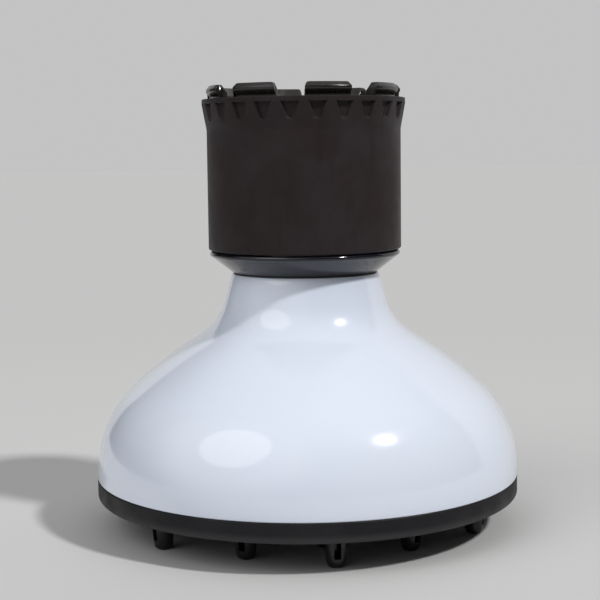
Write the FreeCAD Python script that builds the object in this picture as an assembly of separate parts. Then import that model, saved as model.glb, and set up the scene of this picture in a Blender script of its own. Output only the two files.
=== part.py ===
import FreeCAD, Part
import math
import os

# Diffuser attachment for a hair dryer, in millimetres and degrees.
# The origin lies on the turning axis, level with the prong tips, and +Z points up into the socket.
# Bearing 0 faces -Y, and bearings grow counterclockwise seen from above.

# Bell: a vertical edge, two convex bends, a hollow bend and a straight neck.
RIM_RADIUS = 80.0
RIM_SEAM_Z = 19.0
SHOULDER_Z = 21.6
BELL_BENDS = [(41.6, 47.2, "convex"), (168.6, 11.2, "convex"), (22.2, 42.6, "hollow")]
NECK_TOP_Z = 95.3
BELL_WALL = 2.4
TONGUE_OUTER = 78.6
TONGUE_INNER = 76.8
TONGUE_BOTTOM_Z = 14.2
NECK_RIB_RADIUS = 25.1
NECK_RIB_Z = (87.0, 89.0)

# Rim bumper: a U-shaped channel pushed onto the bell's tongue.
BUMPER_BOTTOM_Z = 11.7
BUMPER_FLOOR = 2.2
BUMPER_ROUND = 1.4
BUMPER_SLOT_GAP = 0.1
BUMPER_INNER_WALL = 1.7
BUMPER_INNER_TOP_Z = 16.4

# Prong plate: a flat flange round a low dome, with a hollow prong pressed into each of its larger holes.
PLATE_RADIUS = 74.6
PLATE_FLANGE_Z = 14.0
PLATE_WALL = 2.2
DOME_RADIUS = 68.0
DOME_RISE = 8.0
PRONG_RINGS = [(66.0, 6, 8.0), (58.7, 6, 38.0), (41.0, 6, 8.0), (27.0, 6, 38.0), (13.0, 3, 8.0)]
PRONG_TIP_RADIUS = 2.3
PRONG_NOSE_RADIUS = 3.5
PRONG_NOSE_Z = 2.6
PRONG_NOSE_FULLNESS = 0.4
PRONG_TAPER = 0.09
PRONG_WALL = 1.1
PRONG_FLOOR = 2.2
PRONG_SLOT_WIDTH = 2.4
PRONG_SLOT_MARGIN = 1.2
PRONG_NECK_RADIUS = 3.6
PRONG_NECK_ABOVE_PLATE = 0.6
AIR_HOLE_RADIUS = 2.2
AIR_HOLE_RINGS = [(67.5, 6, 38.0), (67.5, 6, 50.0), (58.7, 6, 20.0), (58.7, 6, 56.0), (50.0, 30, 2.0),
                  (34.0, 12, 23.0), (23.0, 6, 8.0), (15.0, 3, 68.0)]

# Screws: six hold the plate to bosses in the bell, one holds the baffle.
SCREW_COUNT = 6
SCREW_CIRCLE = 71.2
SCREW_FIRST_BEARING = 23.0
SCREW_SHANK = 1.25
SCREW_HEAD = 2.9
SCREW_HEAD_HEIGHT = 1.7
SCREW_LENGTH = 12.0
RECESS_HALF_WIDTH = 0.4
RECESS_HALF_LENGTH = 1.7
RECESS_DEPTH = 1.0
BOSS_RADIUS = 3.2
BAFFLE_STEM = 4.2
BAFFLE_RADIUS = 24.0
BAFFLE_Z = (34.0, 42.0)
BAFFLE_UNDERCUT = 3.0
BAFFLE_WALL = 1.8

# Adapter: a spigot clipped into the neck, a funnel with a beaded rim, a throat tube and the jaws' posts.
THROAT_INNER = 23.0
THROAT_OUTER = 24.9
SPIGOT_BOTTOM_Z = 84.0
HOOK_RADIUS = 26.2
HOOK_TOP_Z = 86.7
HOOK_EDGE = 1.0
HOOK_COUNT = 6
SLIT_HALF_WIDTH = 0.6
SLIT_TOP_Z = 91.7
GASKET_THICKNESS = 0.6
GASKET_INNER = 25.1
GASKET_OUTER = 27.2
FUNNEL_FOOT = 27.7
FUNNEL_RIM = 36.0
BEAD_ROUND = 1.0
DECK_Z = 103.8
DECK_INNER = 29.0
TROUGH_FLOOR_Z = (98.3, 100.3)
TROUGH_FLOOR_WIDTH = 2.2
POST_TOP_Z = 113.0
POST_OUTER = 33.4
POST_LIP_RADIUS = 34.0
POST_LIP_Z = (106.0, 107.2)
THROAT_TOP_Z = 126.0
SEAT_TOP_Z = 128.0

# Jaws: eight levers on tangential pins, closing inward.
JAW_COUNT = 8
JAW_FIRST_BEARING = 14.5
PIVOT_RADIUS = 31.0
PIVOT_Z = 110.0
PIN_RADIUS = 0.8
PIN_HALF_LENGTH = 7.8
PIN_RUNNING_GAP = 0.05
FOOT_RADIUS = 1.9
FOOT_HALF_WIDTH = 5.5
FOOT_SIDE_GAP = 0.3
LEG_INNER = 29.4
LEG_OUTER = 31.2
STEM_INNER = 31.4
STEM_OUTER = 33.4
STEM_BOTTOM_Z = 126.0
STEM_TOP_Z = 156.6
KNEE_OUTER = 32.6
HEAD_OUTER = 35.0
HEAD_BOTTOM_Z = 158.2
HOOK_TIP = 36.4
HOOK_ROOT_Z = 161.3
HOOK_TIP_Z = (162.8, 164.0)
HOOK_TOP = 35.3
JAW_INNER_TOP_Z = 162.4
JAW_TOP_Z = 165.4
HEAD_HALF_ANGLES = (14.2, 13.5)
HEAD_LOFT = (20.0, 45.0)
FOLLOWER_Z = 122.0
FOLLOWER_NOSE = 1.0
FOLLOWER_HALF_WIDTH = 0.9
PAD_INNER = 29.9
PAD_Z = (129.0, 157.0)
PAD_HALF_WIDTH = 7.2
PAD_GROOVES = 5
PAD_GROOVE_DEPTH = 0.6
PAD_GROOVE_HEIGHT = 1.6

# Return spring: a band round the throat with one finger behind each jaw, drawn as bent by closed jaws.
SPRING_SHEET = 0.4
SPRING_BAND_Z = (104.4, 109.0)
SPRING_TIP_RADIUS = 27.0
SPRING_TIP_Z = 120.0
SPRING_FINGER_WIDTH = 5.0

# Collar and sleeve, which turn together.
COLLAR_INNER = 33.7
COLLAR_OUTER = 34.9
COLLAR_Z = (104.1, 156.0)
GROOVE_RADIUS = 34.3
GROOVE_GAP = 0.3
COLLAR_TURN = 22.5
CAM_Z = (119.5, 124.5)
CAM_START = 1.9
CAM_LOW_RADIUS = 33.5
CAM_HIGH_RADIUS = 31.6
STOP_RADIUS = 31.2
STOP_WIDTH = 1.4
CAM_ROOT = 34.1
SLEEVE_RADIUS = 36.4
SLEEVE_BOTTOM_Z = 104.3
FLARE_BOTTOM_Z = 149.0
SLEEVE_TOP_RADIUS = 38.1
SLEEVE_TOP_Z = 160.4
SLEEVE_LIP = 1.6
SLEEVE_STEP_Z = (156.3, 157.4)
SLEEVE_EDGE = 0.3
FLUTE_COUNT = 24
FLUTE_FIRST_BEARING = 7.5
FLUTE_HALF_WIDTHS = (1.9, 3.3)
FLUTE_Z = (152.2, 158.6)

# How far cutting shapes reach past what they cut, and how far fused shapes reach into each other.
PAST = 1.0
OVERLAP = 0.5

AXIS = FreeCAD.Vector(0, 0, 1)
ORIGIN = FreeCAD.Vector(0, 0, 0)


def on_bearing(radius, bearing, z):
    """A point at a radius from the axis, on a bearing."""
    angle = math.radians(bearing)
    return FreeCAD.Vector(radius * math.sin(angle), -radius * math.cos(angle), z)


def turned(shape, bearing):
    """A copy of a shape made at bearing 0, turned to another bearing."""
    copy = shape.copy()
    copy.rotate(ORIGIN, AXIS, bearing)
    return copy


def section_point(radius, z):
    """A point of a turned outline, drawn in the half plane of +X and Z."""
    return FreeCAD.Vector(radius, 0, z)


def straight_edges(points):
    """Straight edges through section points given as (radius, z)."""
    corners = [section_point(*point) for point in points]
    return [Part.LineSegment(a, b).toShape() for a, b in zip(corners, corners[1:])]


def round_edge(start, middle, end):
    """A round edge through three section points given as (radius, z)."""
    return Part.Arc(section_point(*start), section_point(*middle), section_point(*end)).toShape()


def corner_round(centre, radius, first_angle, last_angle):
    """A quarter or other stretch of a circle in the section plane, as one round edge."""
    points = []
    for angle in (first_angle, (first_angle + last_angle) / 2, last_angle):
        turn = math.radians(angle)
        points.append((centre[0] + radius * math.cos(turn), centre[1] + radius * math.sin(turn)))
    return round_edge(*points), points[0], points[2]


def section_face(edges):
    """A face from the edges of a closed outline."""
    return Part.Face(Part.Wire(Part.__sortEdges__(edges)))


def full_turn(edges):
    """A solid made by turning a closed outline once round the axis."""
    return section_face(edges).revolve(ORIGIN, AXIS, 360)


def turned_polygon(points):
    """A solid of revolution from straight-sided section points."""
    return full_turn(straight_edges(points + [points[0]]))


def tube(inner, outer, bottom_z, top_z):
    """A plain tube on the axis."""
    return turned_polygon([(inner, bottom_z), (outer, bottom_z), (outer, top_z), (inner, top_z)])


def block(half_width, near, far, bottom_z, top_z):
    """A block at bearing 0, from one distance to another in front of the axis."""
    return Part.makeBox(2 * half_width, far - near, top_z - bottom_z,
                        FreeCAD.Vector(-half_width, -far, bottom_z))


def cross_pin(radius, half_length, distance, z):
    """A cylinder at bearing 0 that lies across the radius."""
    return Part.makeCylinder(radius, 2 * half_length, FreeCAD.Vector(-half_length, -distance, z),
                             FreeCAD.Vector(1, 0, 0))


def upright_cylinder(radius, centre_radius, bearing, bottom_z, top_z):
    """A cylinder parallel to the axis."""
    return Part.makeCylinder(radius, top_z - bottom_z, on_bearing(centre_radius, bearing, bottom_z))


def bearings(count, first):
    """Evenly spaced bearings."""
    return [first + 360.0 * i / count for i in range(count)]


def bell_edges(inset):
    """The bell's outline from rim to neck, moved inward by an inset, with its first and last points."""
    point = (RIM_RADIUS - inset, SHOULDER_Z)
    first = point
    heading = 90.0
    edges = []
    for bend_radius, bend_angle, kind in BELL_BENDS:
        side = 1 if kind == "convex" else -1
        radius = bend_radius - side * inset
        to_centre = math.radians(heading + side * 90)
        centre = (point[0] + radius * math.cos(to_centre), point[1] + radius * math.sin(to_centre))
        start_angle = heading - side * 90
        edge, _, point = corner_round(centre, radius, start_angle, start_angle + side * bend_angle)
        edges.append(edge)
        heading += side * bend_angle
    run = (NECK_TOP_Z - point[1]) / math.tan(math.radians(heading))
    last = (point[0] + run, NECK_TOP_Z)
    edges += straight_edges([point, last])
    return edges, first, last


def bell_filled(inset):
    """The bell as a filled solid, moved inward by an inset."""
    edges, first, last = bell_edges(inset)
    closing = straight_edges([last, (0, NECK_TOP_Z), (0, TONGUE_BOTTOM_Z), (first[0], TONGUE_BOTTOM_Z),
                              first])
    return full_turn(edges + closing)


def diffuser_bowl():
    """The white bell with its neck, tongue, snap rib and screw bosses."""
    outer, outer_first, outer_last = bell_edges(0)
    inner, inner_first, inner_last = bell_edges(BELL_WALL)
    tongue = straight_edges([inner_first, (TONGUE_INNER, RIM_SEAM_Z + PAST), (TONGUE_INNER, TONGUE_BOTTOM_Z),
                             (TONGUE_OUTER, TONGUE_BOTTOM_Z), (TONGUE_OUTER, RIM_SEAM_Z),
                             (RIM_RADIUS, RIM_SEAM_Z), outer_first])
    neck_top = straight_edges([outer_last, inner_last])
    shell = full_turn(outer + neck_top + inner + tongue)
    wall_middle = bell_filled(BELL_WALL / 2)
    rib = tube(NECK_RIB_RADIUS, FUNNEL_FOOT + BELL_WALL, *NECK_RIB_Z).common(wall_middle)
    boss_bottom = PLATE_FLANGE_Z + PLATE_WALL
    bosses = []
    pilots = []
    for bearing in bearings(SCREW_COUNT, SCREW_FIRST_BEARING):
        boss = upright_cylinder(BOSS_RADIUS, SCREW_CIRCLE, bearing, boss_bottom, NECK_TOP_Z)
        bosses.append(boss.common(wall_middle))
        pilots.append(upright_cylinder(SCREW_SHANK, SCREW_CIRCLE, bearing, boss_bottom,
                                       PLATE_FLANGE_Z + SCREW_LENGTH + PAST))
    return shell.multiFuse([rib] + bosses).cut(Part.makeCompound(pilots))


def rim_bumper():
    """The soft ring on the bell's lower edge, rounded at its outer bottom corner."""
    floor_z = BUMPER_BOTTOM_Z + BUMPER_FLOOR
    slot_outer = TONGUE_OUTER + BUMPER_SLOT_GAP
    slot_inner = TONGUE_INNER - BUMPER_SLOT_GAP
    inner = slot_inner - BUMPER_INNER_WALL
    centre = (RIM_RADIUS - BUMPER_ROUND, BUMPER_BOTTOM_Z + BUMPER_ROUND)
    corner, corner_start, corner_end = corner_round(centre, BUMPER_ROUND, -90, 0)
    straight = straight_edges([corner_end, (RIM_RADIUS, RIM_SEAM_Z), (slot_outer, RIM_SEAM_Z),
                               (slot_outer, floor_z), (slot_inner, floor_z),
                               (slot_inner, BUMPER_INNER_TOP_Z), (inner, BUMPER_INNER_TOP_Z),
                               (inner, BUMPER_BOTTOM_Z), corner_start])
    return full_turn([corner] + straight)


def dome_height(radius):
    """The height of the plate's lower face at a radius."""
    sphere = (DOME_RADIUS ** 2 + DOME_RISE ** 2) / (2 * DOME_RISE)
    if radius >= DOME_RADIUS:
        return PLATE_FLANGE_Z
    return PLATE_FLANGE_Z + DOME_RISE - sphere + math.sqrt(sphere ** 2 - radius ** 2)


def prong(radius):
    """A prong on the axis, for a hole of the plate at a radius, slotted on its outer side."""
    widest = PRONG_NOSE_RADIUS + PRONG_TAPER * dome_height(radius)
    shoulder_z = dome_height(radius + widest)
    shoulder_radius = PRONG_NOSE_RADIUS + PRONG_TAPER * (shoulder_z - PRONG_NOSE_Z)
    top_z = dome_height(radius) + PLATE_WALL + PRONG_NECK_ABOVE_PLATE
    bore = PRONG_NECK_RADIUS - PRONG_WALL
    tip = (PRONG_TIP_RADIUS, 0)
    nose_end = (PRONG_NOSE_RADIUS, PRONG_NOSE_Z)
    nose = round_edge(tip, (PRONG_NOSE_RADIUS - PRONG_NOSE_FULLNESS, PRONG_NOSE_Z / 3), nose_end)
    sides = straight_edges([nose_end, (shoulder_radius, shoulder_z), (PRONG_NECK_RADIUS, shoulder_z),
                            (PRONG_NECK_RADIUS, top_z), (0, top_z), (0, 0), tip])
    body = full_turn([nose] + sides)
    hollow = upright_cylinder(bore, 0, 0, PRONG_FLOOR, top_z + PAST)
    slot = block(PRONG_SLOT_WIDTH / 2, 0, 2 * shoulder_radius, PRONG_FLOOR + PRONG_SLOT_MARGIN,
                 shoulder_z - PRONG_SLOT_MARGIN)
    return body.cut(hollow).cut(slot)


def air_prongs():
    """Every prong, ring by ring, each slot facing away from the axis."""
    prongs = []
    for radius, count, first in PRONG_RINGS:
        one_prong = prong(radius)
        for bearing in bearings(count, first):
            prongs.append(turned(one_prong, bearing).translated(on_bearing(radius, bearing, 0)))
    return Part.makeCompound(prongs)


def prong_plate():
    """The domed plate with holes for the prongs, the air and the screws."""
    half = DOME_RADIUS / 2
    lower = round_edge((DOME_RADIUS, PLATE_FLANGE_Z), (half, dome_height(half)), (0, dome_height(0)))
    upper = round_edge((DOME_RADIUS, PLATE_FLANGE_Z + PLATE_WALL), (half, dome_height(half) + PLATE_WALL),
                       (0, dome_height(0) + PLATE_WALL))
    axis_edge = straight_edges([(0, dome_height(0)), (0, dome_height(0) + PLATE_WALL)])
    flange = straight_edges([(DOME_RADIUS, PLATE_FLANGE_Z), (PLATE_RADIUS, PLATE_FLANGE_Z),
                             (PLATE_RADIUS, PLATE_FLANGE_Z + PLATE_WALL),
                             (DOME_RADIUS, PLATE_FLANGE_Z + PLATE_WALL)])
    plate = full_turn([lower, upper] + axis_edge + flange)
    bottom_z = PLATE_FLANGE_Z - PAST
    top_z = dome_height(0) + PLATE_WALL + PAST
    holes = [upright_cylinder(SCREW_SHANK, 0, 0, bottom_z, top_z)]
    for bearing in bearings(SCREW_COUNT, SCREW_FIRST_BEARING):
        holes.append(upright_cylinder(SCREW_SHANK, SCREW_CIRCLE, bearing, bottom_z, top_z))
    for radius, count, first in PRONG_RINGS:
        for bearing in bearings(count, first):
            holes.append(upright_cylinder(PRONG_NECK_RADIUS, radius, bearing, bottom_z, top_z))
    for radius, count, first in AIR_HOLE_RINGS:
        for bearing in bearings(count, first):
            holes.append(upright_cylinder(AIR_HOLE_RADIUS, radius, bearing, bottom_z, top_z))
    return plate.cut(Part.makeCompound(holes))


def air_baffle():
    """A low cone on a stem over the plate's centre."""
    foot_z = dome_height(0) + PLATE_WALL
    low, high = BAFFLE_Z
    body = turned_polygon([(0, foot_z), (BAFFLE_STEM, foot_z), (BAFFLE_STEM, low + BAFFLE_UNDERCUT),
                           (BAFFLE_RADIUS, low), (BAFFLE_RADIUS, low + BAFFLE_WALL), (BAFFLE_STEM, high),
                           (0, high)])
    return body.cut(upright_cylinder(SCREW_SHANK, 0, 0, foot_z, foot_z + SCREW_LENGTH - PLATE_WALL + PAST))


def screw(centre_radius, bearing, seat_z):
    """A screw driven upward, with its head below the seat and a cross recess in the head."""
    head_z = seat_z - SCREW_HEAD_HEIGHT
    shank = upright_cylinder(SCREW_SHANK, 0, 0, seat_z, seat_z + SCREW_LENGTH)
    head = upright_cylinder(SCREW_HEAD, 0, 0, head_z, seat_z)
    recess_a = block(RECESS_HALF_WIDTH, -RECESS_HALF_LENGTH, RECESS_HALF_LENGTH, head_z,
                     head_z + RECESS_DEPTH)
    recess_b = turned(recess_a, 90)
    whole = shank.fuse(head).cut(Part.makeCompound([recess_a, recess_b]))
    return turned(whole, bearing).translated(on_bearing(centre_radius, bearing, 0))


def plate_screws():
    """The plate's six screws and the baffle's one."""
    screws = [screw(SCREW_CIRCLE, bearing, PLATE_FLANGE_Z)
              for bearing in bearings(SCREW_COUNT, SCREW_FIRST_BEARING)]
    screws.append(screw(0, 0, dome_height(SCREW_HEAD)))
    return Part.makeCompound(screws)


def adapter_body():
    """The glossy funnel with its spigot, throat tube and the posts between the jaws' feet."""
    foot_z = NECK_TOP_Z + GASKET_THICKNESS
    bead_centre = (FUNNEL_RIM - BEAD_ROUND, DECK_Z - BEAD_ROUND)
    bead, bead_start, bead_end = corner_round(bead_centre, BEAD_ROUND, -75, 90)
    trough_low, trough_high = TROUGH_FLOOR_Z
    outline = straight_edges([bead_end, (DECK_INNER, DECK_Z), (DECK_INNER, trough_high),
                              (THROAT_OUTER + TROUGH_FLOOR_WIDTH, trough_low), (THROAT_OUTER, trough_low),
                              (THROAT_OUTER, THROAT_TOP_Z), (THROAT_INNER, THROAT_TOP_Z),
                              (THROAT_INNER, SPIGOT_BOTTOM_Z), (THROAT_OUTER, SPIGOT_BOTTOM_Z),
                              (THROAT_OUTER, foot_z), (FUNNEL_FOOT, foot_z), bead_start])
    funnel = full_turn([bead] + outline)
    hooks = turned_polygon([(THROAT_OUTER - OVERLAP, SPIGOT_BOTTOM_Z), (THROAT_OUTER, SPIGOT_BOTTOM_Z),
                            (HOOK_RADIUS, HOOK_TOP_Z - HOOK_EDGE), (HOOK_RADIUS, HOOK_TOP_Z),
                            (THROAT_OUTER - OVERLAP, HOOK_TOP_Z)])
    posts = tube(DECK_INNER, POST_OUTER, DECK_Z - OVERLAP, POST_TOP_Z)
    lip = tube(POST_OUTER - OVERLAP, POST_LIP_RADIUS, *POST_LIP_Z)
    slit = block(SLIT_HALF_WIDTH, THROAT_INNER - PAST, HOOK_RADIUS + PAST, SPIGOT_BOTTOM_Z - PAST,
                 SLIT_TOP_Z)
    jaw_slot = block(FOOT_HALF_WIDTH + FOOT_SIDE_GAP, DECK_INNER - PAST, FUNNEL_RIM + PAST, DECK_Z,
                     POST_TOP_Z + PAST)
    bore = cross_pin(PIN_RADIUS, PIN_HALF_LENGTH * 2, PIVOT_RADIUS, PIVOT_Z)
    cuts = [turned(slit, bearing) for bearing in bearings(2 * HOOK_COUNT, 0)]
    for bearing in bearings(JAW_COUNT, JAW_FIRST_BEARING):
        cuts.append(turned(jaw_slot, bearing))
        cuts.append(turned(bore, bearing))
    return funnel.multiFuse([hooks, posts, lip]).cut(Part.makeCompound(cuts))


def neck_gasket():
    """The flat ring squeezed between neck and funnel."""
    return tube(GASKET_INNER, GASKET_OUTER, NECK_TOP_Z, NECK_TOP_Z + GASKET_THICKNESS)


def seat_gasket():
    """The ring on top of the throat tube that the dryer's outlet presses on."""
    return tube(THROAT_INNER, THROAT_OUTER, THROAT_TOP_Z, SEAT_TOP_Z)


def jaw_pivot_pins():
    """Eight steel pins, each across one jaw's foot and into the posts beside it."""
    pin = cross_pin(PIN_RADIUS, PIN_HALF_LENGTH, PIVOT_RADIUS, PIVOT_Z)
    return Part.makeCompound([turned(pin, bearing) for bearing in bearings(JAW_COUNT, JAW_FIRST_BEARING)])


def return_spring():
    """A sheet-steel band round the throat tube with a sloping finger behind each jaw."""
    inner = THROAT_OUTER
    low, high = SPRING_BAND_Z
    band = tube(inner, inner + SPRING_SHEET, low, high)
    root_z = high - PAST
    outline = straight_edges([(inner, root_z), (inner + SPRING_SHEET, root_z),
                              (SPRING_TIP_RADIUS, SPRING_TIP_Z),
                              (SPRING_TIP_RADIUS - SPRING_SHEET, SPRING_TIP_Z), (inner, root_z)])
    cone = full_turn(outline)
    fingers = []
    for bearing in bearings(JAW_COUNT, JAW_FIRST_BEARING):
        window = block(SPRING_FINGER_WIDTH / 2, THROAT_INNER, LEG_INNER, low, SPRING_TIP_Z + PAST)
        fingers.append(cone.common(turned(window, bearing)))
    return band.multiFuse(fingers)


def head_front(distance):
    """A jaw's outline seen from the front, as it crosses a plane at a distance before the axis."""
    wide, narrow = [distance * math.tan(math.radians(angle)) for angle in HEAD_HALF_ANGLES]
    corners = [(-wide, STEM_BOTTOM_Z), (wide, STEM_BOTTOM_Z), (wide, SLEEVE_TOP_Z), (narrow, JAW_TOP_Z),
               (-narrow, JAW_TOP_Z), (-wide, SLEEVE_TOP_Z), (-wide, STEM_BOTTOM_Z)]
    return Part.makePolygon([FreeCAD.Vector(x, -distance, z) for x, z in corners])


def jaw():
    """One jaw at bearing 0: foot, leg, cam follower, curved stem and the hook over the sleeve."""
    tip_low, tip_high = HOOK_TIP_Z
    outline = [(STEM_INNER, STEM_BOTTOM_Z), (STEM_OUTER, STEM_BOTTOM_Z), (STEM_OUTER, STEM_TOP_Z),
               (HEAD_OUTER, HEAD_BOTTOM_Z), (HEAD_OUTER, HOOK_ROOT_Z), (HOOK_TIP, tip_low),
               (HOOK_TIP, tip_high), (HOOK_TOP, JAW_TOP_Z), (STEM_OUTER, JAW_TOP_Z),
               (STEM_INNER, JAW_INNER_TOP_Z)]
    ring = turned_polygon(outline)
    fronts = [head_front(distance) for distance in HEAD_LOFT]
    stem = ring.common(Part.makeLoft(fronts, True, True))
    leg = block(FOOT_HALF_WIDTH, LEG_INNER, LEG_OUTER, PIVOT_Z, SEAT_TOP_Z)
    knee = block(FOOT_HALF_WIDTH, LEG_INNER, KNEE_OUTER, STEM_BOTTOM_Z - OVERLAP, SEAT_TOP_Z)
    foot = cross_pin(FOOT_RADIUS, FOOT_HALF_WIDTH, PIVOT_RADIUS, PIVOT_Z)
    nose_distance = STEM_OUTER - FOLLOWER_NOSE
    nose = cross_pin(FOLLOWER_NOSE, FOLLOWER_HALF_WIDTH, nose_distance, FOLLOWER_Z)
    nose_root = block(FOLLOWER_HALF_WIDTH, LEG_OUTER - OVERLAP, nose_distance, FOLLOWER_Z - FOLLOWER_NOSE,
                      FOLLOWER_Z + FOLLOWER_NOSE)
    bore = cross_pin(PIN_RADIUS + PIN_RUNNING_GAP, FOOT_HALF_WIDTH + PAST, PIVOT_RADIUS, PIVOT_Z)
    return stem.multiFuse([leg, knee, foot, nose, nose_root]).cut(bore)


def grip_pad():
    """One rubber pad at bearing 0, glued to the jaw's inner face, with cross grooves."""
    low, high = PAD_Z
    pitch = (high - low) / (PAD_GROOVES + 1)
    ring = tube(PAD_INNER, STEM_INNER, low, high)
    for i in range(PAD_GROOVES):
        middle = low + pitch * (i + 1)
        groove = tube(PAD_INNER - PAST, PAD_INNER + PAD_GROOVE_DEPTH, middle - PAD_GROOVE_HEIGHT / 2,
                      middle + PAD_GROOVE_HEIGHT / 2)
        ring = ring.cut(groove)
    return ring.common(block(PAD_HALF_WIDTH, THROAT_INNER, STEM_INNER + PAST, low - PAST, high + PAST))


def cam():
    """One ramp of the collar for the jaw at bearing 0, with a stop tooth at its high end."""
    last = CAM_START + COLLAR_TURN
    middle = (CAM_START + last) / 2
    middle_radius = (CAM_LOW_RADIUS + CAM_HIGH_RADIUS) / 2
    low, high = CAM_Z
    corners = [on_bearing(CAM_ROOT, -CAM_START, low), on_bearing(CAM_LOW_RADIUS, -CAM_START, low),
               on_bearing(CAM_HIGH_RADIUS, -last, low), on_bearing(CAM_ROOT, -last, low)]
    ramp = [Part.LineSegment(corners[0], corners[1]).toShape(),
            Part.Arc(corners[1], on_bearing(middle_radius, -middle, low), corners[2]).toShape(),
            Part.LineSegment(corners[2], corners[3]).toShape(),
            Part.Arc(corners[3], on_bearing(CAM_ROOT, -middle, low), corners[0]).toShape()]
    lobe = Part.Face(Part.Wire(ramp)).extrude(FreeCAD.Vector(0, 0, high - low))
    tooth = block(STOP_WIDTH / 2, STOP_RADIUS, CAM_ROOT, low, high)
    tooth_turn = math.degrees(math.atan(STOP_WIDTH / 2 / STOP_RADIUS))
    return lobe.fuse(turned(tooth, -last - tooth_turn))


def cam_collar():
    """The hard tube under the sleeve, with a groove for the posts' lip and a ramp for each jaw."""
    low, high = COLLAR_Z
    groove = tube(COLLAR_INNER - PAST, GROOVE_RADIUS, POST_LIP_Z[0] - GROOVE_GAP, POST_LIP_Z[1] + GROOVE_GAP)
    wall = tube(COLLAR_INNER, COLLAR_OUTER, low, high).cut(groove)
    one_cam = cam()
    return wall.multiFuse([turned(one_cam, bearing) for bearing in bearings(JAW_COUNT, JAW_FIRST_BEARING)])


def grip_sleeve():
    """The soft outer sleeve, flared at the top, with flutes that end below its lip."""
    lip_inner = SLEEVE_TOP_RADIUS - SLEEVE_LIP
    step_low, step_high = SLEEVE_STEP_Z
    low, high = FLUTE_Z
    edge = SLEEVE_EDGE
    body = turned_polygon([(COLLAR_OUTER, SLEEVE_BOTTOM_Z), (SLEEVE_RADIUS - edge, SLEEVE_BOTTOM_Z),
                           (SLEEVE_RADIUS, SLEEVE_BOTTOM_Z + edge), (SLEEVE_RADIUS, FLARE_BOTTOM_Z),
                           (SLEEVE_TOP_RADIUS, high), (SLEEVE_TOP_RADIUS, SLEEVE_TOP_Z - edge),
                           (SLEEVE_TOP_RADIUS - edge, SLEEVE_TOP_Z), (lip_inner, SLEEVE_TOP_Z),
                           (lip_inner, step_high), (COLLAR_OUTER, step_low)])
    narrow, wide = FLUTE_HALF_WIDTHS
    round_z = low + narrow
    far = SLEEVE_TOP_RADIUS + PAST
    outward = FreeCAD.Vector(0, SLEEVE_RADIUS - far, 0)
    bottom_centre = FreeCAD.Vector(0, -SLEEVE_RADIUS, round_z)
    bottom = Part.makeCylinder(narrow, far - SLEEVE_RADIUS, bottom_centre, outward)
    sides = [(-narrow, round_z), (narrow, round_z), (wide, high), (-wide, high), (-narrow, round_z)]
    front = Part.Face(Part.makePolygon([FreeCAD.Vector(x, -SLEEVE_RADIUS, z) for x, z in sides]))
    flute = bottom.fuse(front.extrude(outward))
    flutes = [turned(flute, bearing) for bearing in bearings(FLUTE_COUNT, FLUTE_FIRST_BEARING)]
    return body.cut(Part.makeCompound(flutes))


def nodes():
    """Every sub-part with its name."""
    made = {
        "diffuser_bowl": diffuser_bowl(),
        "rim_bumper": rim_bumper(),
        "prong_plate": prong_plate(),
        "air_prongs": air_prongs(),
        "air_baffle": air_baffle(),
        "plate_screws": plate_screws(),
        "adapter_body": adapter_body(),
        "neck_gasket": neck_gasket(),
        "seat_gasket": seat_gasket(),
        "jaw_pivot_pins": jaw_pivot_pins(),
        "return_spring": return_spring(),
        "cam_collar": cam_collar(),
        "grip_sleeve": grip_sleeve(),
    }
    one_jaw = jaw()
    one_pad = grip_pad()
    for i, bearing in enumerate(bearings(JAW_COUNT, JAW_FIRST_BEARING), start=1):
        made[f"jaw_{i}"] = turned(one_jaw, bearing)
        made[f"grip_pad_{i}"] = turned(one_pad, bearing)
    return made


os.makedirs("parts", exist_ok=True)
for name, shape in nodes().items():
    shape.exportStep(f"parts/{name}.step")
    print(name, len(shape.Solids), "solids", round(shape.Volume), "mm3, valid:", shape.isValid())
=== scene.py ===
import math

import bmesh
import bpy
from mathutils import Matrix, Vector


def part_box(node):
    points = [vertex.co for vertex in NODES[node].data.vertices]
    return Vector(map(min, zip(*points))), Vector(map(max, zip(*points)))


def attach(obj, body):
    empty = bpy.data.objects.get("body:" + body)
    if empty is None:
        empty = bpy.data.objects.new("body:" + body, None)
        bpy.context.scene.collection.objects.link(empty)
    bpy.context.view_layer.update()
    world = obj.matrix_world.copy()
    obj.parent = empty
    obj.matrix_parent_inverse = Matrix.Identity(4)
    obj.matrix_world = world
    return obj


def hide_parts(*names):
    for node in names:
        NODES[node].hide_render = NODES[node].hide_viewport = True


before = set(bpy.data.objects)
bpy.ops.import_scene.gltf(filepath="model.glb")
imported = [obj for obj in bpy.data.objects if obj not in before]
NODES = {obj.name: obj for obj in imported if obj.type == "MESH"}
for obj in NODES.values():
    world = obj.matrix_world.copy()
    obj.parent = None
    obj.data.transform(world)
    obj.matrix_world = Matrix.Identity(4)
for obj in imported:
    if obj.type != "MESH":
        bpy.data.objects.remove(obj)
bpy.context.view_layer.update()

MM = 0.001
SMOOTH_SEGMENTS = 360

# Heights and radii of the CAD nodes, in metres, that the pieces are built on.
RIM_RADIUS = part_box("rim_bumper")[1][0]
BUMPER_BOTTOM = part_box("rim_bumper")[0][2]
RIM_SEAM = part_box("rim_bumper")[1][2]
TONGUE_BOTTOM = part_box("diffuser_bowl")[0][2]
NECK_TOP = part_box("diffuser_bowl")[1][2]
SLEEVE_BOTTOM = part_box("grip_sleeve")[0][2]
SLEEVE_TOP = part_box("grip_sleeve")[1][2]
FLARE_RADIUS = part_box("grip_sleeve")[1][0]
COLLAR_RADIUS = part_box("cam_collar")[1][0]
JAW_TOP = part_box("jaw_1")[1][2]

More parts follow.
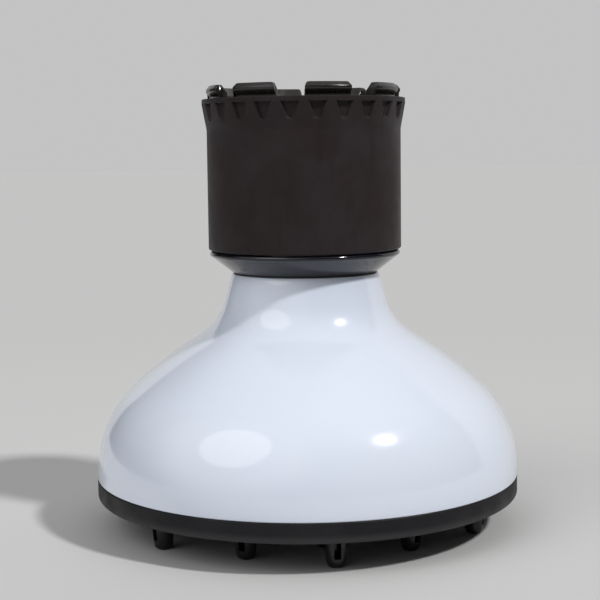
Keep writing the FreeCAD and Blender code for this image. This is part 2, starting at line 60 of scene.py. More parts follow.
# Bell: the bends of its outline, as (radius, angle, kind), and its wall.
BELL_WALL = 2.4 * MM
BELL_EDGE = 0.35 * MM
SHOULDER = RIM_SEAM + 2.6 * MM
TONGUE = (76.8 * MM, 78.6 * MM)
TONGUE_ROOT_Z = RIM_SEAM + 1 * MM
NECK_RIB_RADIUS = 25.1 * MM
NECK_RIB_Z = (87.2 * MM, 88.8 * MM)
BELL_BENDS = [(41.6 * MM, 47.2, "convex"), (168.6 * MM, 11.2, "convex"), (22.2 * MM, 42.6, "hollow")]

# Rim bumper: the channel that takes the bell's tongue, its inner wall and its rounds.
CHANNEL = (76.7 * MM, 78.7 * MM)
CHANNEL_FLOOR = BUMPER_BOTTOM + 2.2 * MM
RIM_INNER = 75.0 * MM
RIM_INNER_TOP = 16.4 * MM
RIM_ROUND = 1.4 * MM

# Floor: its shade, how much lighter it is painted near the object (painted light against the object's shade
# on it), where that fades, and the rings of its mesh.
FLOOR_SHADE = 0.574
FLOOR_NEAR_PAINTED_LIGHT = 1.045
FLOOR_FADE = (0.10, 0.60)
FLOOR_RADII = (0, 1.0, 3.0, 9.0)

# Lights far away, as (azimuth from the front towards the right, height, strength, spread, colour).
LIGHTS = {"key": (57.5, 47.5, 1.90, 5.0, (1.0, 0.995, 0.985)),
          "soft": (-50.0, 43.0, 0.45, 36.0, (1.0, 1.0, 1.0))}

# The room's light: ceiling, wall behind and fill from the left, each as (direction, cosine where it starts,
# cosine where it is full, brightness outside, brightness inside). The camera sees one even shade all round.
ROOM = [((0, 0, 1), 0.56, 0.91, 0.02, 0.50),
        ((0.342, 0.940, 0), 0.57, 0.61, 0, 0.546),
        ((-0.60, -0.52, 0.60), 0.62, 0.93, 0, 0.78)]
BACKDROP_SHADE = 0.546

# Camera: place, tilt below the horizon, lean and focal length in millimetres.
CAMERA_PLACE = (-2.1 * MM, -534.3 * MM, 142.4 * MM)
CAMERA_TILT = 6.18
CAMERA_LEAN = -0.67
CAMERA_LENS = 84.66


# ---------------------------------------------------------------- outlines and meshes

def arc_points(centre, radius, first, last, step=6.0):
    """Points along an arc in the section plane, from one angle to another in degrees."""
    count = max(2, math.ceil(abs(last - first) / step))
    angles = [math.radians(first + (last - first) * i / count) for i in range(count + 1)]
    return [(centre[0] + radius * math.cos(a), centre[1] + radius * math.sin(a)) for a in angles]


def rounded(corners, step=15.0):
    """A closed outline from corners given as (radius, z) or (radius, z, fillet)."""
    outline = []
    count = len(corners)
    for i, corner in enumerate(corners):
        here = Vector(corner[:2])
        fillet = corner[2] if len(corner) > 2 else 0.0
        before = (Vector(corners[i - 1][:2]) - here).normalized()
        after = (Vector(corners[(i + 1) % count][:2]) - here).normalized()
        opening = before.angle(after)
        if fillet <= 0 or opening > math.radians(176):
            outline.append(tuple(here))
            continue
        centre = here + (before + after).normalized() * fillet / math.sin(opening / 2)
        start = here + before * fillet / math.tan(opening / 2) - centre
        turn = math.pi - opening
        sign = 1 if start.y * before.x - start.x * before.y > 0 else -1
        pieces = max(2, math.ceil(math.degrees(turn) / step))
        for k in range(pieces + 1):
            a = sign * turn * k / pieces
            outline.append((centre.x + start.x * math.cos(a) - start.y * math.sin(a),
                            centre.y + start.x * math.sin(a) + start.y * math.cos(a)))
    return outline


def new_piece(name, mesh_maker, body, stands_for, material, sharp=40.0):
    """A mesh piece that rides on a body and stands for CAD nodes, smooth except at sharp edges."""
    bm = bmesh.new()
    mesh_maker(bm)
    bmesh.ops.recalc_face_normals(bm, faces=bm.faces)
    for face in bm.faces:
        face.smooth = True
    for edge in bm.edges:
        if len(edge.link_faces) == 2 and edge.calc_face_angle(0) > math.radians(sharp):
            edge.smooth = False
    mesh = bpy.data.meshes.new(name)
    bm.to_mesh(mesh)
    bm.free()
    piece = bpy.data.objects.new(name, mesh)
    bpy.context.scene.collection.objects.link(piece)
    mesh.materials.append(material)
    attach(piece, body)
    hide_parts(*stands_for)
    return piece


def turned_surface(bm, outline, segments=256, closed=True, dent=None):
    """Turns an outline of (radius, z) round Z; dent(angle, radius, z) is taken off the radius."""
    rings = []
    for radius, z in outline:
        if radius < 1e-7:
            rings.append([bm.verts.new((0, 0, z))])
            continue
        ring = []
        for i in range(segments):
            angle = 2 * math.pi * i / segments
            reach = radius - (dent(angle, radius, z) if dent else 0)
            ring.append(bm.verts.new((reach * math.sin(angle), -reach * math.cos(angle), z)))
        rings.append(ring)
    pairs = list(zip(rings, rings[1:]))
    if closed:
        pairs.append((rings[-1], rings[0]))
    for low, high in pairs:
        for i in range(segments):
            j = (i + 1) % segments
            corners = [low[i % len(low)], low[j % len(low)], high[j % len(high)], high[i % len(high)]]
            unique = list(dict.fromkeys(corners))
            if len(unique) > 2:
                bm.faces.new(unique)


# ---------------------------------------------------------------- materials

RANGE_SOCKETS = ("From Min", "From Max", "To Min", "To Max")


class Finish:
    """A Principled material with procedural colour, roughness and bump, in object coordinates."""

    def __init__(self, name, colour, roughness, **sockets):
        self.material = bpy.data.materials.new(name)
        self.material.use_nodes = True
        self.tree = self.material.node_tree
        self.shader = self.tree.nodes["Principled BSDF"]
        self.shader.inputs["Base Color"].default_value = (*colour, 1)
        self.shader.inputs["Roughness"].default_value = roughness
        for socket, value in sockets.items():
            self.shader.inputs[socket.replace("_", " ")].default_value = value
        self.place = self.tree.nodes.new("ShaderNodeTexCoord").outputs["Object"]
        self.normal = None

    def node(self, kind, **settings):
        made = self.tree.nodes.new(kind)
        for key, value in settings.items():
            setattr(made, key, value)
        return made

    def noise(self, scale, detail=4.0, roughness=0.55, distortion=0.0, stretch=(1, 1, 1)):
        """Noise from 0 to 1; scale counts features per metre."""
        mapping = self.node("ShaderNodeMapping")
        mapping.inputs["Scale"].default_value = stretch
        self.tree.links.new(self.place, mapping.inputs["Vector"])
        made = self.node("ShaderNodeTexNoise")
        made.inputs["Scale"].default_value = scale
        made.inputs["Detail"].default_value = detail
        made.inputs["Roughness"].default_value = roughness
        made.inputs["Distortion"].default_value = distortion
        self.tree.links.new(mapping.outputs["Vector"], made.inputs["Vector"])
        return made.outputs["Fac"]

    def height(self):
        """The height above the floor."""
        made = self.node("ShaderNodeSeparateXYZ")
        self.tree.links.new(self.place, made.inputs["Vector"])
        return made.outputs["Z"]

    def spread(self, value, low, high, to_low=0.0, to_high=1.0):
        """Maps a value from one range to another, clamped."""
        made = self.node("ShaderNodeMapRange", interpolation_type="SMOOTHSTEP")
        for socket, number in zip(RANGE_SOCKETS, (low, high, to_low, to_high)):
            made.inputs[socket].default_value = number
        self.tree.links.new(value, made.inputs["Value"])
        return made.outputs["Result"]

    def tint(self, mask, colour):
        """Mixes another colour into the base colour where the mask is 1."""
        mix = self.node("ShaderNodeMix", data_type="RGBA")
        base = self.shader.inputs["Base Color"]
        if base.is_linked:
            self.tree.links.new(base.links[0].from_socket, mix.inputs["A"])
        else:
            mix.inputs["A"].default_value = base.default_value
        mix.inputs["B"].default_value = (*colour, 1)
        self.tree.links.new(mask, mix.inputs["Factor"])
        self.tree.links.new(mix.outputs["Result"], base)

    def roughen(self, value):
        """Drives the roughness by a value."""
        self.tree.links.new(value, self.shader.inputs["Roughness"])

    def bump(self, height, depth, strength=1.0):
        """Adds a bump layer; depth is in metres."""
        made = self.node("ShaderNodeBump")
        made.inputs["Strength"].default_value = strength
        made.inputs["Distance"].default_value = depth
        self.tree.links.new(height, made.inputs["Height"])
        if self.normal:
            self.tree.links.new(self.normal, made.inputs["Normal"])
        self.normal = made.outputs["Normal"]
        self.tree.links.new(self.normal, self.shader.inputs["Normal"])


def white_gloss():
    """Bluish white moulded plastic with a polish, faint waviness and dust."""
    finish = Finish("white_gloss", (0.768, 0.831, 0.955), 0.16, Specular_IOR_Level=0.3,
                    Coat_Weight=0.9, Coat_Roughness=0.03)
    finish.tint(finish.spread(finish.noise(14, 3), 0.42, 0.62), (0.782, 0.843, 0.96))
    finish.tint(finish.spread(finish.noise(2600, 2), 0.74, 0.80, 0, 0.35), (0.48, 0.47, 0.46))
    finish.roughen(finish.spread(finish.noise(60, 5), 0.3, 0.7, 0.13, 0.2))
    finish.bump(finish.noise(40, 2), 0.00012, 0.35)
    finish.bump(finish.noise(900, 2), 0.000008, 0.4)
    return finish.material


def sleeve_rubber():
    """Warm black rubber: mottled, wiped in faint upright streaks, with a fine grain."""
    finish = Finish("sleeve_rubber", (0.0218, 0.0145, 0.0147), 0.62, Specular_IOR_Level=0.2,
                    Sheen_Weight=0.10, Sheen_Roughness=0.35)
    clouds = finish.noise(38, 5, 0.6, 0.4)
    finish.tint(finish.spread(clouds, 0.40, 0.70, 0, 0.9), (0.0272, 0.0215, 0.0240))
    streaks = finish.noise(120, 4, 0.6, 0, (1, 1, 0.25))
    finish.tint(finish.spread(streaks, 0.50, 0.72, 0, 0.7), (0.017, 0.012, 0.0115))
    finish.tint(finish.spread(finish.noise(2200, 2), 0.72, 0.80, 0, 0.5), (0.11, 0.10, 0.095))
    finish.roughen(finish.spread(finish.noise(70, 5), 0.3, 0.7, 0.52, 0.74))
    finish.bump(finish.noise(160, 4), 0.0002, 0.25)
    finish.bump(finish.noise(2400, 3), 0.00005, 0.5)
    return finish.material


def rim_rubber():
    """Charcoal rubber of the rim, matte, with a fine grain and a painted highlight along its lower edge."""
    finish = Finish("rim_rubber", (0.0090, 0.0090, 0.0112), 0.58, Specular_IOR_Level=0.25)
    finish.tint(finish.spread(finish.noise(60, 4, 0.6), 0.42, 0.66), (0.0125, 0.0120, 0.0140))
    # Painted highlight: the colour grows lighter towards the rounded lower edge, where light catches it.
    finish.tint(finish.spread(finish.height(), BUMPER_BOTTOM + 3.6 * MM, BUMPER_BOTTOM + 0.4 * MM, 0, 1),
                (0.040, 0.037, 0.040))
    finish.tint(finish.spread(finish.noise(2400, 2), 0.72, 0.80, 0, 0.5), (0.12, 0.115, 0.11))
    finish.roughen(finish.spread(finish.noise(90, 4), 0.3, 0.7, 0.46, 0.64))
    finish.bump(finish.noise(2600, 3), 0.00004, 0.45)
    return finish.material


def black_gloss(name, colour, polish):
    """Polished black plastic with hairline scratches and a little dust."""
    finish = Finish(name, colour, polish, Coat_Weight=0.2, Coat_Roughness=polish * 0.6, IOR=1.5)
    finish.tint(finish.spread(finish.noise(2400, 2), 0.73, 0.80, 0, 0.4), (0.10, 0.10, 0.10))
    scratches = finish.noise(260, 5, 0.65, 0, (1, 1, 0.15))
    finish.roughen(finish.spread(scratches, 0.4, 0.75, polish * 0.8, polish * 1.7))
    finish.bump(finish.noise(120, 2), 0.00006, 0.25)
    return finish.material


def black_matte(name, roughness):
    """Moulded black plastic with a fine spark-eroded texture."""
    finish = Finish(name, (0.012, 0.012, 0.013), roughness, IOR=1.48)
    finish.tint(finish.spread(finish.noise(80, 4), 0.4, 0.68), (0.017, 0.016, 0.017))
    finish.roughen(finish.spread(finish.noise(140, 4), 0.3, 0.7, roughness - 0.06, roughness + 0.10))
    finish.bump(finish.noise(1800, 3), 0.00003, 0.4)
    return finish.material


def soft_black(name):
    """Black seal or pad rubber."""
    finish = Finish(name, (0.014, 0.013, 0.013), 0.7, Specular_IOR_Level=0.35)
    finish.tint(finish.spread(finish.noise(200, 4), 0.4, 0.7), (0.021, 0.020, 0.020))
    finish.bump(finish.noise(1500, 3), 0.00005, 0.5)
    return finish.material


def steel(name, colour, roughness):
    """Steel with fine drawn lines."""
    finish = Finish(name, colour, roughness, Metallic=1.0)
    lines = finish.noise(900, 3, 0.6, 0, (1, 1, 0.1))
    finish.roughen(finish.spread(lines, 0.3, 0.7, roughness - 0.08, roughness + 0.12))
    finish.bump(finish.noise(1600, 2, 0.5, 0, (1, 1, 0.1)), 0.00001, 0.4)
    return finish.material


WHITE = white_gloss()
SLEEVE = sleeve_rubber()
RIM = rim_rubber()
FUNNEL = black_gloss("black_gloss", (0.008, 0.008, 0.014), 0.09)
JAW = black_gloss("jaw_gloss", (0.016, 0.0135, 0.0125), 0.26)
PLATE = black_matte("plate_black", 0.34)
PRONG = black_matte("prong_black", 0.22)
COLLAR = black_matte("collar_black", 0.45)
SEAL = soft_black("seal_rubber")
PAD = soft_black("pad_rubber")
SCREW = steel("screw_steel", (0.10, 0.10, 0.105), 0.35)
PIN = steel("pin_steel", (0.55, 0.55, 0.56), 0.25)
SPRING = steel("spring_steel", (0.42, 0.42, 0.43), 0.3)


# ---------------------------------------------------------------- bell and rim

def bell_line(inset):
    """The bell's section from the shoulder to the neck's top, moved inward by an inset."""
    point = (RIM_RADIUS - inset, SHOULDER)
    heading = 90.0
    line = [point]
    for bend_radius, bend_angle, kind in BELL_BENDS:
        side = 1 if kind == "convex" else -1
        radius = bend_radius - side * inset
        to_centre = math.radians(heading + side * 90)
        centre = (point[0] + radius * math.cos(to_centre), point[1] + radius * math.sin(to_centre))
        start = heading - side * 90
        line += arc_points(centre, radius, start, start + side * bend_angle, 1.5)[1:]
        point = line[-1]
        heading += side * bend_angle
    run = (NECK_TOP - point[1]) / math.tan(math.radians(heading))
    line += [(point[0] + run * k / 4, point[1] + (NECK_TOP - point[1]) * k / 4) for k in range(1, 5)]
    return line


def bell_shell(bm):
    """The bell with its rounded neck edge, the lower edge on the rim and the tongue inside it."""
    outer = bell_line(0)
    inner = bell_line(BELL_WALL)
    neck_outer, neck_inner = outer[-1][0], inner[-1][0]
    top = [(neck_outer + 0.1 * MM, NECK_TOP - BELL_EDGE), (neck_outer - 0.15 * MM, NECK_TOP - 0.1 * MM),
           (neck_outer - BELL_EDGE - 0.1 * MM, NECK_TOP), (neck_inner + BELL_EDGE, NECK_TOP),
           (neck_inner, NECK_TOP - BELL_EDGE)]
    rib_low, rib_high = NECK_RIB_Z
    rib = [(NECK_RIB_RADIUS + 0.9 * MM, rib_high + 0.4 * MM), (NECK_RIB_RADIUS, rib_high),
           (NECK_RIB_RADIUS, rib_low), (NECK_RIB_RADIUS + 2.3 * MM, rib_low - 0.4 * MM)]
    below_rib = [p for p in inner if p[1] < rib_low - 0.7 * MM]
    tongue_inner, tongue_outer = TONGUE
    seat = RIM_SEAM + 0.05 * MM
    bottom = [(tongue_inner, TONGUE_ROOT_Z), (tongue_inner, TONGUE_BOTTOM), (tongue_outer, TONGUE_BOTTOM),
              (tongue_outer, seat), (RIM_RADIUS - 0.55 * MM, seat),
              (RIM_RADIUS - 0.25 * MM, RIM_SEAM + 0.12 * MM),
              (RIM_RADIUS - 0.06 * MM, RIM_SEAM + 0.32 * MM), (RIM_RADIUS, RIM_SEAM + 0.6 * MM)]
    turned_surface(bm, outer[:-1] + top + rib + below_rib[::-1] + bottom, SMOOTH_SEGMENTS)


new_piece("bell_shell", bell_shell, "base", ["diffuser_bowl"], WHITE)


def rim_ring(bm):
    """The rim bumper, a U-shaped channel with a small round at its outer lower edge."""
    inner, outer = CHANNEL
    outline = rounded([
        (RIM_RADIUS, BUMPER_BOTTOM, RIM_ROUND), (RIM_RADIUS, RIM_SEAM, 0.45 * MM),
        (outer, RIM_SEAM), (outer, CHANNEL_FLOOR), (inner, CHANNEL_FLOOR),
        (inner, RIM_INNER_TOP, 0.3 * MM), (RIM_INNER, RIM_INNER_TOP, 0.5 * MM),
        (RIM_INNER, BUMPER_BOTTOM, 0.6 * MM)], 7.5)
    turned_surface(bm, outline, SMOOTH_SEGMENTS)


new_piece("rim_ring", rim_ring, "base", ["rim_bumper"], RIM)


# ---------------------------------------------------------------- sleeve

SLEEVE_RADIUS = 36.4 * MM
FLARE_BOTTOM = 149.0 * MM
FLUTE_COUNT = 24
FLUTE_FIRST = 7.5
FLUTE_LOW = 152.2 * MM
FLUTE_HIGH = 158.6 * MM
FLUTE_NARROW = 1.8 * MM
FLUTE_WIDE = 3.3 * MM
FLUTE_FLOOR_DIP = 0.4 * MM
LIP_WALL = 1.6 * MM
LIP_FOOT = 157.4 * MM
SEAT_TOP = 156.3 * MM
FLARE_ROWS = 45
ROW_STEP = 0.15 * MM


def smooth(value, low, high):
    """0 below low, 1 above high and a soft step between."""
    t = min(1.0, max(0.0, (value - low) / (high - low)))
    return t * t * (3 - 2 * t)


def flute_dent(angle, radius, z):
    """How deep the flutes cut into the flare at a place on it."""
    if radius < SLEEVE_RADIUS + 0.05 * MM or not FLUTE_LOW - 0.5 * MM < z < FLUTE_HIGH + 0.01 * MM:
        return 0.0
    pitch = 2 * math.pi / FLUTE_COUNT
    off = (angle - math.radians(FLUTE_FIRST) + pitch / 2) % pitch - pitch / 2
    side = abs(off) * radius
    round_z = FLUTE_LOW + FLUTE_NARROW
    if z < round_z:
        inside = FLUTE_NARROW - math.hypot(side, z - round_z)
    else:
        width = FLUTE_NARROW + (FLUTE_WIDE - FLUTE_NARROW) * (z - round_z) / (FLUTE_HIGH - round_z)
        inside = width - side
    floor = SLEEVE_RADIUS - FLUTE_FLOOR_DIP * smooth(FLUTE_HIGH - z, 0, FLUTE_HIGH - FLUTE_LOW)
    return (radius - floor) * smooth(inside, -0.15 * MM, 0.8 * MM)


def sleeve_skin(bm):
    """The rubber sleeve: a straight tube, a flare with flutes that end below the lip, and the lip."""
    flare = FLARE_RADIUS - SLEEVE_RADIUS
    corners = [(COLLAR_RADIUS, SLEEVE_BOTTOM, 0.3 * MM), (SLEEVE_RADIUS, SLEEVE_BOTTOM, 0.7 * MM),
               (SLEEVE_RADIUS, FLARE_BOTTOM, 8 * MM)]
    for k in range(FLARE_ROWS):
        z = FLUTE_LOW - 0.3 * MM + ROW_STEP * k
        corners.append((SLEEVE_RADIUS + flare * (z - FLARE_BOTTOM) / (FLUTE_HIGH - FLARE_BOTTOM), z))
    corners += [(FLARE_RADIUS, FLUTE_HIGH), (FLARE_RADIUS, FLUTE_HIGH + 0.12 * MM),
                (FLARE_RADIUS, SLEEVE_TOP, 0.3 * MM), (FLARE_RADIUS - LIP_WALL, SLEEVE_TOP, 0.3 * MM),
                (FLARE_RADIUS - LIP_WALL, LIP_FOOT), (COLLAR_RADIUS, SEAT_TOP)]
    turned_surface(bm, rounded(corners, 12), FLUTE_COUNT * 40, dent=flute_dent)


new_piece("sleeve_skin", sleeve_skin, "collar", ["grip_sleeve"], SLEEVE, 50)


# ---------------------------------------------------------------- jaws

JAW_COUNT = 8
JAW_FIRST = 14.5
PIVOT_RADIUS = 31.0 * MM
PIVOT_Z = 110.0 * MM
FOOT_RADIUS = 1.9 * MM
FOOT_BORE = 0.85 * MM
FOOT_HALF_WIDTH = 5.5 * MM
LEG = (29.4 * MM, 31.2 * MM)
LEG_TOP = 128.0 * MM
KNEE = (29.5 * MM, 32.6 * MM)
KNEE_Z = (125.6 * MM, 127.9 * MM)
FOLLOWER = (30.8 * MM, 32.4 * MM)
FOLLOWER_Z = 122.0 * MM
FOLLOWER_NOSE = 1.0 * MM
FOLLOWER_HALF_WIDTH = 0.9 * MM

# A jaw's stem and hook: (radius, z, fillet) round the section, its half angles at the sleeve's top and
# at its own top, and the rounds of its upper corners and of its ends.
HEAD_LINE = [
    (31.4 * MM, 126.0 * MM, 0.3 * MM), (33.4 * MM, 126.0 * MM, 0.3 * MM),
    (33.4 * MM, 156.6 * MM, 1 * MM), (35.0 * MM, 158.2 * MM, 1 * MM),
    (35.0 * MM, 161.2 * MM, 1.2 * MM), (36.4 * MM, 162.9 * MM, 0.45 * MM),
    (36.4 * MM, 163.9 * MM, 0.6 * MM), (35.2 * MM, JAW_TOP, 0.4 * MM),
    (33.4 * MM, JAW_TOP, 0.5 * MM), (31.4 * MM, 162.4 * MM, 0.8 * MM)]
HEAD_HALF_ANGLES = (14.2, 13.5)
HEAD_CORNER = 1.3 * MM
HEAD_EDGE = 0.3 * MM
HEAD_STEPS = 14
EDGE_STEPS = 4


def slab(bm, half_width, near, far, low, high, edge=0.25 * MM):
    """A block at bearing 0 with softened edges."""
    made = bmesh.ops.create_cube(bm, size=1.0)["verts"]
    for vert in made:
        vert.co = Vector((vert.co.x * 2 * half_width, -(near + far) / 2 + vert.co.y * (far - near),
                          (low + high) / 2 + vert.co.z * (high - low)))
    edges = list(dict.fromkeys(e for vert in made for e in vert.link_edges))
    bmesh.ops.bevel(bm, geom=edges, offset=edge, segments=2, affect="EDGES", profile=0.5)


def cross_rod(bm, outer, inner, half_length, distance, z, edge=0.2 * MM, count=32):
    """A rod, or a tube, that lies across the radius at bearing 0."""
    low = inner if inner > 0 else 1e-9
    loop = [(low, -half_length), (outer - edge, -half_length), (outer, -half_length + edge),
            (outer, half_length - edge), (outer - edge, half_length), (low, half_length)]
    angles = [2 * math.pi * i / count for i in range(count)]
    rings = []
    for radius, x in loop:
        rings.append([bm.verts.new((x, -distance + radius * math.cos(a), z + radius * math.sin(a)))
                      for a in angles])
    pairs = list(zip(rings, rings[1:]))
    if inner > 0:
        pairs.append((rings[-1], rings[0]))
    for left, right in pairs:
        for i in range(count):
            bm.faces.new([left[i], left[(i + 1) % count], right[(i + 1) % count], right[i]])


def inset_outline(outline, inset):
    """A counterclockwise outline moved inward."""
    moved = []
    for i, point in enumerate(outline):
        before = Vector(outline[i - 1])
        after = Vector(outline[(i + 1) % len(outline)])
        along = (after - before).normalized()
        moved.append((point[0] - along.y * inset, point[1] + along.x * inset))
    return moved


def jaw_half_angle(radius, z):
    """Half the angle that a jaw's head covers at a place on it."""
    wide, narrow = HEAD_HALF_ANGLES
    rise = (z - SLEEVE_TOP) / (JAW_TOP - SLEEVE_TOP)
    angle = math.radians(wide - (wide - narrow) * min(1.0, max(0.0, rise)))
    over = max(0.0, z - (JAW_TOP - HEAD_CORNER))
    return angle - (HEAD_CORNER - math.sqrt(max(0.0, HEAD_CORNER ** 2 - over ** 2))) / radius


def jaw_head(bm):
    """The curved stem and hook of a jaw, swept round the axis, with soft ends."""
    outline = rounded(HEAD_LINE)
    swept = []
    for k in range(EDGE_STEPS + 1):
        turn = math.radians(90 - 90 * k / EDGE_STEPS)
        swept.append((-1.0, HEAD_EDGE * (1 - math.sin(turn)), HEAD_EDGE * (1 - math.cos(turn))))
    middle = [(-1.0 + 2.0 * k / HEAD_STEPS, HEAD_EDGE, 0.0) for k in range(1, HEAD_STEPS)]
    swept += middle + [(1.0, short, inset) for _, short, inset in swept[::-1]]
    rings = []
    for side, short, inset in swept:
        ring = []
        for radius, z in inset_outline(outline, inset):
            half = jaw_half_angle(radius, z) - short / radius
            angle = side * half
            ring.append(bm.verts.new((radius * math.sin(angle), -radius * math.cos(angle), z)))
        rings.append(ring)
    count = len(outline)
    for left, right in zip(rings, rings[1:]):
        for i in range(count):
            bm.faces.new([left[i], left[(i + 1) % count], right[(i + 1) % count], right[i]])
    caps = [bm.faces.new(rings[0]), bm.faces.new(rings[-1])]
    bmesh.ops.triangulate(bm, faces=caps)


def jaw_shape(bearing):
    """Makes one whole jaw on its bearing."""
    def make(bm):
        jaw_head(bm)
        slab(bm, FOOT_HALF_WIDTH, *LEG, PIVOT_Z, LEG_TOP)
        slab(bm, FOOT_HALF_WIDTH, *KNEE, *KNEE_Z)
        cross_rod(bm, FOOT_RADIUS, FOOT_BORE, FOOT_HALF_WIDTH, PIVOT_RADIUS, PIVOT_Z)
        slab(bm, FOLLOWER_HALF_WIDTH, *FOLLOWER, FOLLOWER_Z - FOLLOWER_NOSE,
             FOLLOWER_Z + FOLLOWER_NOSE, 0.1 * MM)
        cross_rod(bm, FOLLOWER_NOSE, 0, FOLLOWER_HALF_WIDTH, FOLLOWER[1], FOLLOWER_Z, 0.1 * MM, 20)
        turn = Matrix.Rotation(math.radians(bearing), 3, "Z")
        bmesh.ops.rotate(bm, verts=bm.verts, cent=(0, 0, 0), matrix=turn)
    return make


for number in range(1, JAW_COUNT + 1):
    shape = jaw_shape(JAW_FIRST + 360 / JAW_COUNT * (number - 1))
    new_piece(f"jaw_form_{number}", shape, f"jaw_{number}", [f"jaw_{number}"], JAW, 35)


# ---------------------------------------------------------------- prongs

# Rings of prongs, as (radius, count, first bearing), and the plate that they stand in.
PRONG_RINGS = [(66.0 * MM, 6, 8.0), (58.7 * MM, 6, 38.0), (41.0 * MM, 6, 8.0), (27.0 * MM, 6, 38.0),
               (13.0 * MM, 3, 8.0)]
PLATE_FLANGE = 14.0 * MM
DOME_RADIUS = 68.0 * MM
DOME_RISE = 8.0 * MM

# A prong: its nose's outline, its widening per height, its neck in the plate, its bore and its slot.
NOSE_LINE = [(1e-6, 0), (1.5 * MM, 0), (2.2 * MM, 0.07 * MM), (2.75 * MM, 0.42 * MM),
             (3.12 * MM, 0.95 * MM), (3.35 * MM, 1.6 * MM), (3.5 * MM, 2.6 * MM)]
PRONG_TAPER = 0.09
PRONG_WIDEST = 4.7 * MM
PRONG_NECK = 3.6 * MM
PRONG_NECK_RISE = 2.8 * MM
PRONG_EDGE = 0.15 * MM
BORE = 2.5 * MM
BORE_FLOOR = 2.2 * MM
SLOT_HALF = 1.2 * MM
SLOT_MARGIN = 1.2 * MM
SLOT_SOFT = 0.25 * MM
SLOT_COLUMNS = 6
BACK_COLUMNS = 34


def dome_height(radius):
    """Height of the plate's lower face at a radius."""
    sphere = (DOME_RADIUS ** 2 + DOME_RISE ** 2) / (2 * DOME_RISE)
    if radius >= DOME_RADIUS:
        return PLATE_FLANGE
    return PLATE_FLANGE + DOME_RISE - sphere + math.sqrt(sphere ** 2 - radius ** 2)


def prong_radius(z):
    """The outer radius of a prong above its nose."""
    nose, nose_z = NOSE_LINE[-1]
    return nose + PRONG_TAPER * (z - nose_z)


def one_prong(bm, ring_radius, bearing):
    """A hollow prong with a rounded nose and a slot that faces away from the axis."""
    shoulder = dome_height(ring_radius + PRONG_WIDEST)
    top = dome_height(ring_radius) + PRONG_NECK_RISE
    wide = prong_radius(shoulder)
    slot_low, slot_high = BORE_FLOOR + SLOT_MARGIN, shoulder - SLOT_MARGIN
    side = list(NOSE_LINE)
    for end in (slot_low, slot_high):
        side += [(prong_radius(z), z) for z in (end - SLOT_SOFT, end, end + SLOT_SOFT)]
    side += [(wide, shoulder - PRONG_EDGE), (wide - PRONG_EDGE, shoulder), (PRONG_NECK, shoulder),
             (PRONG_NECK, top - PRONG_EDGE), (PRONG_NECK - PRONG_EDGE, top), (BORE, top)]
    line = side + [(BORE, slot_high + SLOT_SOFT), (BORE, slot_high), (BORE, slot_low),
                   (BORE, slot_low - SLOT_SOFT), (BORE, BORE_FLOOR), (1e-6, BORE_FLOOR)]
    turn = Matrix.Rotation(math.radians(bearing), 3, "Z")
    place = turn @ Vector((0, -ring_radius, 0))
    rows = []
    for radius, z in line:
        half = math.asin(min(1.0, SLOT_HALF / max(radius, BORE)))
        angles = [-half + 2 * half * i / SLOT_COLUMNS for i in range(SLOT_COLUMNS)]
        angles += [half + (2 * math.pi - 2 * half) * i / BACK_COLUMNS for i in range(BACK_COLUMNS)]
        ring = [Vector((radius * math.sin(a), -radius * math.cos(a), z)) for a in angles]
        rows.append([bm.verts.new(turn @ point + place) for point in ring])
    count = SLOT_COLUMNS + BACK_COLUMNS
    for k, ((_, low), (_, high)) in enumerate(zip(line, line[1:])):
        in_slot = slot_low < (low + high) / 2 < slot_high and abs(high - low) > 0.01 * MM
        for i in range(SLOT_COLUMNS if in_slot else 0, count):
            j = (i + 1) % count
            bm.faces.new([rows[k][i], rows[k][j], rows[k + 1][j], rows[k + 1][i]])
    outer = [k for k, (_, z) in enumerate(side) if slot_low - 1e-9 < z < slot_high + 1e-9]
    upper, lower = len(side) + 1, len(side) + 2
    for column in (0, SLOT_COLUMNS):
        bm.faces.new([rows[k][column] for k in outer + [upper, lower]])
    for outer_row, inner_row in ((outer[0], lower), (outer[-1], upper)):
        for i in range(SLOT_COLUMNS):
            bm.faces.new([rows[outer_row][i], rows[outer_row][i + 1], rows[inner_row][i + 1],
                          rows[inner_row][i]])


def prong_field(bm):
    """All prongs, ring by ring."""
    for ring_radius, count, first in PRONG_RINGS:
        for k in range(count):
            one_prong(bm, ring_radius, first + 360 * k / count)
    bmesh.ops.remove_doubles(bm, verts=bm.verts, dist=1e-5)


new_piece("prong_field", prong_field, "base", ["air_prongs"], PRONG, 35)


# ---------------------------------------------------------------- carried-over nodes

NODE_FINISHES = {
    "prong_plate": PLATE, "air_baffle": PLATE, "plate_screws": SCREW, "adapter_body": FUNNEL,
    "neck_gasket": SEAL, "seat_gasket": SEAL, "jaw_pivot_pins": PIN, "return_spring": SPRING,
    "cam_collar": COLLAR,
}
for number in range(1, JAW_COUNT + 1):
    NODE_FINISHES[f"grip_pad_{number}"] = PAD
for node, finish in NODE_FINISHES.items():
    for place in NODES[node].material_slots:
        place.material = finish


# ---------------------------------------------------------------- floor, light and camera

def backdrop():
    """A wide, pale, flat floor, with painted light that makes it lighter near the object."""
    bm = bmesh.new()
    turned_surface(bm, [(radius, 0) for radius in FLOOR_RADII], 64, closed=False)
    mesh = bpy.data.meshes.new("floor")
    bm.to_mesh(mesh)
    bm.free()
    floor = bpy.data.objects.new("floor", mesh)
    bpy.context.scene.collection.objects.link(floor)
    paper = Finish("floor_paper", (FLOOR_SHADE, FLOOR_SHADE, FLOOR_SHADE), 1.0, Specular_IOR_Level=0.0)
    away = paper.node("ShaderNodeVectorMath", operation="LENGTH")
    paper.tree.links.new(paper.place, away.inputs[0])
    # Painted light: the floor is lighter near the object, lifting the object's shade on it.
    near = FLOOR_NEAR_PAINTED_LIGHT * FLOOR_SHADE
    paper.tint(paper.spread(away.outputs["Value"], *FLOOR_FADE, 1, 0), (near, near, near))
    mesh.materials.append(paper.material)


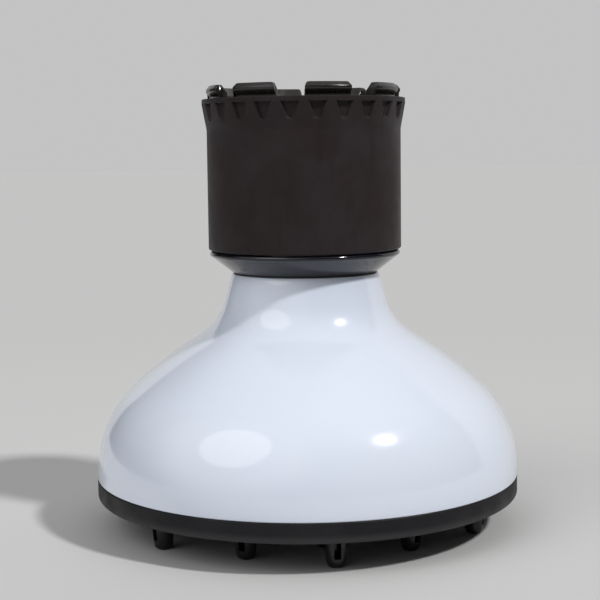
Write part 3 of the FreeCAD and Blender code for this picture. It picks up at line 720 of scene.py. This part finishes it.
def distant_light(name, azimuth, height, strength, spread, colour):
    """A light from far away, shining at the object."""
    data = bpy.data.lights.new(name, "SUN")
    data.energy = strength
    data.angle = math.radians(spread)
    data.color = colour
    light = bpy.data.objects.new(name, data)
    level = math.cos(math.radians(height))
    source = Vector((level * math.sin(math.radians(azimuth)), -level * math.cos(math.radians(azimuth)),
                     math.sin(math.radians(height))))
    light.rotation_euler = (-source).to_track_quat("-Z", "Y").to_euler()
    bpy.context.scene.collection.objects.link(light)


def studio():
    """A small key from the right, a round soft light from the left and the room's own light."""
    for name, settings in LIGHTS.items():
        distant_light(name, *settings)
    world = bpy.data.worlds.new("room")
    bpy.context.scene.world = world
    world.use_nodes = True
    tree = world.node_tree
    direction = tree.nodes.new("ShaderNodeTexCoord").outputs["Generated"]
    brightness = None
    for place, first, last, low, high in ROOM:
        towards = tree.nodes.new("ShaderNodeVectorMath")
        towards.operation = "DOT_PRODUCT"
        towards.inputs[1].default_value = Vector(place).normalized()
        tree.links.new(direction, towards.inputs[0])
        area = tree.nodes.new("ShaderNodeMapRange")
        area.interpolation_type = "SMOOTHSTEP"
        for socket, number in zip(RANGE_SOCKETS, (first, last, low, high)):
            area.inputs[socket].default_value = number
        tree.links.new(towards.outputs["Value"], area.inputs["Value"])
        if brightness is None:
            brightness = area.outputs["Result"]
            continue
        brighter = tree.nodes.new("ShaderNodeMath")
        brighter.operation = "MAXIMUM"
        tree.links.new(brightness, brighter.inputs[0])
        tree.links.new(area.outputs["Result"], brighter.inputs[1])
        brightness = brighter.outputs["Value"]
    seen = tree.nodes.new("ShaderNodeMix")
    tree.links.new(tree.nodes.new("ShaderNodeLightPath").outputs["Is Camera Ray"], seen.inputs["Factor"])
    tree.links.new(brightness, seen.inputs["A"])
    seen.inputs["B"].default_value = BACKDROP_SHADE
    tree.nodes["Background"].inputs["Color"].default_value = (1, 1, 1, 1)
    tree.links.new(seen.outputs["Result"], tree.nodes["Background"].inputs["Strength"])


def camera():
    """The camera, a little above the object's middle, tilted down."""
    data = bpy.data.cameras.new("camera")
    data.sensor_width = 36
    data.lens = CAMERA_LENS
    data.clip_start = 0.01
    made = bpy.data.objects.new("camera", data)
    tilt = Matrix.Rotation(math.radians(90 - CAMERA_TILT), 4, "X")
    lean = Matrix.Rotation(math.radians(CAMERA_LEAN), 4, "Z")
    made.matrix_world = Matrix.Translation(CAMERA_PLACE) @ tilt @ lean
    bpy.context.scene.collection.objects.link(made)
    bpy.context.scene.camera = made


backdrop()
studio()
camera()
bpy.context.scene.view_settings.view_transform = "Standard"
